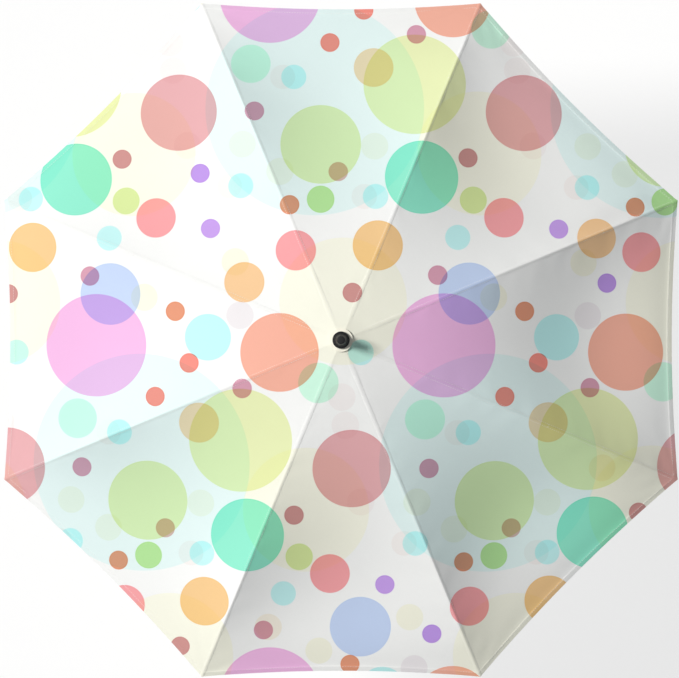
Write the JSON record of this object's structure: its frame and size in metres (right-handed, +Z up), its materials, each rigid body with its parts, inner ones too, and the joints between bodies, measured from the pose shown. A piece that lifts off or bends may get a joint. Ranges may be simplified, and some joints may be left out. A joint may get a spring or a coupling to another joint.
{
  "type": "stick umbrella",
  "caption": "Stick umbrella with a dotted cloth canopy, curved ribs, stretchers on a sliding runner, a pointed ferrule and a crook handle.",
  "frame": {"origin": "on the shaft's axis, level with the lowest point of the crook handle", "axes": "+Z up along the shaft to the ferrule, +X from the grip towards the crook's end"},
  "size_m": [0.977, 0.977, 0.8101],
  "materials": {
    "shaft_steel": "plated steel tube, satin",
    "rib_steel": "plated spring steel channel",
    "dark_steel": "blued spring steel",
    "nickel": "nickel plated, polished",
    "black_plastic": "moulded, satin black",
    "rosette_cloth": "doubled ivory cloth",
    "canopy_cloth": "fine white plain weave printed with pale see-through dots"
  },
  "bodies": {
    "shaft": {"shaft_tube": "shaft_steel", "stop_pin": "dark_steel", "top_notch": "black_plastic", "notch_wire": "dark_steel", "rosette": "rosette_cloth", "ferrule": "black_plastic", "crook_handle": "black_plastic", "crook_end_cap": "black_plastic", "handle_collar": "nickel", "tip_cup": "black_plastic"},
    "top_catch": {"top_catch": "dark_steel"},
    "bottom_catch": {"bottom_catch": "dark_steel"},
    "runner": {"runner": "black_plastic", "runner_wire": "dark_steel"},
    "rib_1": {"rib_1": "rib_steel", "rib_tip_1": "nickel", "joint_rivet_1": "dark_steel", "canopy_1": "canopy_cloth", "tie_strap": "canopy_cloth", "strap_snap": "nickel"},
    "stretcher_1": {"stretcher_1": "rib_steel"},
    "rib_2": {"rib_2": "rib_steel", "rib_tip_2": "nickel", "joint_rivet_2": "dark_steel", "canopy_2": "canopy_cloth"},
    "stretcher_2": {"stretcher_2": "rib_steel"},
    "rib_3": {"rib_3": "rib_steel", "rib_tip_3": "nickel", "joint_rivet_3": "dark_steel", "canopy_3": "canopy_cloth"},
    "stretcher_3": {"stretcher_3": "rib_steel"},
    "rib_4": {"rib_4": "rib_steel", "rib_tip_4": "nickel", "joint_rivet_4": "dark_steel", "canopy_4": "canopy_cloth"},
    "stretcher_4": {"stretcher_4": "rib_steel"},
    "rib_5": {"rib_5": "rib_steel", "rib_tip_5": "nickel", "joint_rivet_5": "dark_steel", "canopy_5": "canopy_cloth"},
    "stretcher_5": {"stretcher_5": "rib_steel"},
    "rib_6": {"rib_6": "rib_steel", "rib_tip_6": "nickel", "joint_rivet_6": "dark_steel", "canopy_6": "canopy_cloth"},
    "stretcher_6": {"stretcher_6": "rib_steel"},
    "rib_7": {"rib_7": "rib_steel", "rib_tip_7": "nickel", "joint_rivet_7": "dark_steel", "canopy_7": "canopy_cloth"},
    "stretcher_7": {"stretcher_7": "rib_steel"},
    "rib_8": {"rib_8": "rib_steel", "rib_tip_8": "nickel", "joint_rivet_8": "dark_steel", "canopy_8": "canopy_cloth"},
    "stretcher_8": {"stretcher_8": "rib_steel"}
  },
  "joints": [
    {"name": "umbrella_fold", "type": "hinge", "parent": "shaft", "child": "rib_1", "pos_m": [0.00831, 0.00344, 0.75776], "axis": [-0.3827, 0.9239, 0], "range_deg": [0, 64], "deforming": ["canopy_1", "canopy_2", "canopy_3", "canopy_4", "canopy_5", "canopy_6", "canopy_7", "canopy_8", "tie_strap", "strap_snap", "top_catch", "bottom_catch"]},
    {"name": "rib_2_fold", "type": "hinge", "parent": "shaft", "child": "rib_2", "pos_m": [0.00344, 0.00831, 0.75776], "axis": [-0.9239, 0.3827, 0], "range_deg": [0, 64]},
    {"name": "rib_3_fold", "type": "hinge", "parent": "shaft", "child": "rib_3", "pos_m": [-0.00344, 0.00831, 0.75776], "axis": [-0.9239, -0.3827, 0], "range_deg": [0, 64]},
    {"name": "rib_4_fold", "type": "hinge", "parent": "shaft", "child": "rib_4", "pos_m": [-0.00831, 0.00344, 0.75776], "axis": [-0.3827, -0.9239, 0], "range_deg": [0, 64]},
    {"name": "rib_5_fold", "type": "hinge", "parent": "shaft", "child": "rib_5", "pos_m": [-0.00831, -0.00344, 0.75776], "axis": [0.3827, -0.9239, 0], "range_deg": [0, 64]},
    {"name": "rib_6_fold", "type": "hinge", "parent": "shaft", "child": "rib_6", "pos_m": [-0.00344, -0.00831, 0.75776], "axis": [0.9239, -0.3827, 0], "range_deg": [0, 64]},
    {"name": "rib_7_fold", "type": "hinge", "parent": "shaft", "child": "rib_7", "pos_m": [0.00344, -0.00831, 0.75776], "axis": [0.9239, 0.3827, 0], "range_deg": [0, 64]},
    {"name": "rib_8_fold", "type": "hinge", "parent": "shaft", "child": "rib_8", "pos_m": [0.00831, -0.00344, 0.75776], "axis": [0.3827, 0.9239, 0], "range_deg": [0, 64]},
    {"name": "stretcher_1_pivot", "type": "hinge", "parent": "rib_1", "child": "stretcher_1", "pos_m": [0.24322, 0.10075, 0.66982], "axis": [-0.3827, 0.9239, 0], "range_deg": [-128, 0]},
    {"name": "stretcher_2_pivot", "type": "hinge", "parent": "rib_2", "child": "stretcher_2", "pos_m": [0.10075, 0.24322, 0.66982], "axis": [-0.9239, 0.3827, 0], "range_deg": [-128, 0]},
    {"name": "stretcher_3_pivot", "type": "hinge", "parent": "rib_3", "child": "stretcher_3", "pos_m": [-0.10075, 0.24322, 0.66982], "axis": [-0.9239, -0.3827, 0], "range_deg": [-128, 0]},
    {"name": "stretcher_4_pivot", "type": "hinge", "parent": "rib_4", "child": "stretcher_4", "pos_m": [-0.24322, 0.10075, 0.66982], "axis": [-0.3827, -0.9239, 0], "range_deg": [-128, 0]},
    {"name": "stretcher_5_pivot", "type": "hinge", "parent": "rib_5", "child": "stretcher_5", "pos_m": [-0.24322, -0.10075, 0.66982], "axis": [0.3827, -0.9239, 0], "range_deg": [-128, 0]},
    {"name": "stretcher_6_pivot", "type": "hinge", "parent": "rib_6", "child": "stretcher_6", "pos_m": [-0.10075, -0.24322, 0.66982], "axis": [0.9239, -0.3827, 0], "range_deg": [-128, 0]},
    {"name": "stretcher_7_pivot", "type": "hinge", "parent": "rib_7", "child": "stretcher_7", "pos_m": [0.10075, -0.24322, 0.66982], "axis": [0.9239, 0.3827, 0], "range_deg": [-128, 0]},
    {"name": "stretcher_8_pivot", "type": "hinge", "parent": "rib_8", "child": "stretcher_8", "pos_m": [0.24322, -0.10075, 0.66982], "axis": [0.3827, 0.9239, 0], "range_deg": [-128, 0]},
    {"name": "runner_slide", "type": "hinge", "parent": "stretcher_1", "child": "runner", "pos_m": [0.00831, 0.00344, 0.58188], "axis": [-0.3827, 0.9239, 0], "range_deg": [0, 64]},
    {"name": "top_catch_press", "type": "slide", "parent": "shaft", "child": "top_catch", "axis": [0, 1, 0], "range_m": [0, 0.003], "stiffness_N_per_m": 900, "springref_m": -0.002},
    {"name": "bottom_catch_press", "type": "slide", "parent": "shaft", "child": "bottom_catch", "axis": [0, 1, 0], "range_m": [0, 0.003], "stiffness_N_per_m": 900, "springref_m": -0.002}
  ],
  "couplings": [
    {"joint": "rib_2_fold", "follows": "umbrella_fold", "ratio": 1},
    {"joint": "rib_3_fold", "follows": "umbrella_fold", "ratio": 1},
    {"joint": "rib_4_fold", "follows": "umbrella_fold", "ratio": 1},
    {"joint": "rib_5_fold", "follows": "umbrella_fold", "ratio": 1},
    {"joint": "rib_6_fold", "follows": "umbrella_fold", "ratio": 1},
    {"joint": "rib_7_fold", "follows": "umbrella_fold", "ratio": 1},
    {"joint": "rib_8_fold", "follows": "umbrella_fold", "ratio": 1},
    {"joint": "stretcher_1_pivot", "follows": "umbrella_fold", "ratio": -2},
    {"joint": "stretcher_2_pivot", "follows": "umbrella_fold", "ratio": -2},
    {"joint": "stretcher_3_pivot", "follows": "umbrella_fold", "ratio": -2},
    {"joint": "stretcher_4_pivot", "follows": "umbrella_fold", "ratio": -2},
    {"joint": "stretcher_5_pivot", "follows": "umbrella_fold", "ratio": -2},
    {"joint": "stretcher_6_pivot", "follows": "umbrella_fold", "ratio": -2},
    {"joint": "stretcher_7_pivot", "follows": "umbrella_fold", "ratio": -2},
    {"joint": "stretcher_8_pivot", "follows": "umbrella_fold", "ratio": -2},
    {"joint": "runner_slide", "follows": "umbrella_fold", "ratio": 1}
  ]
}
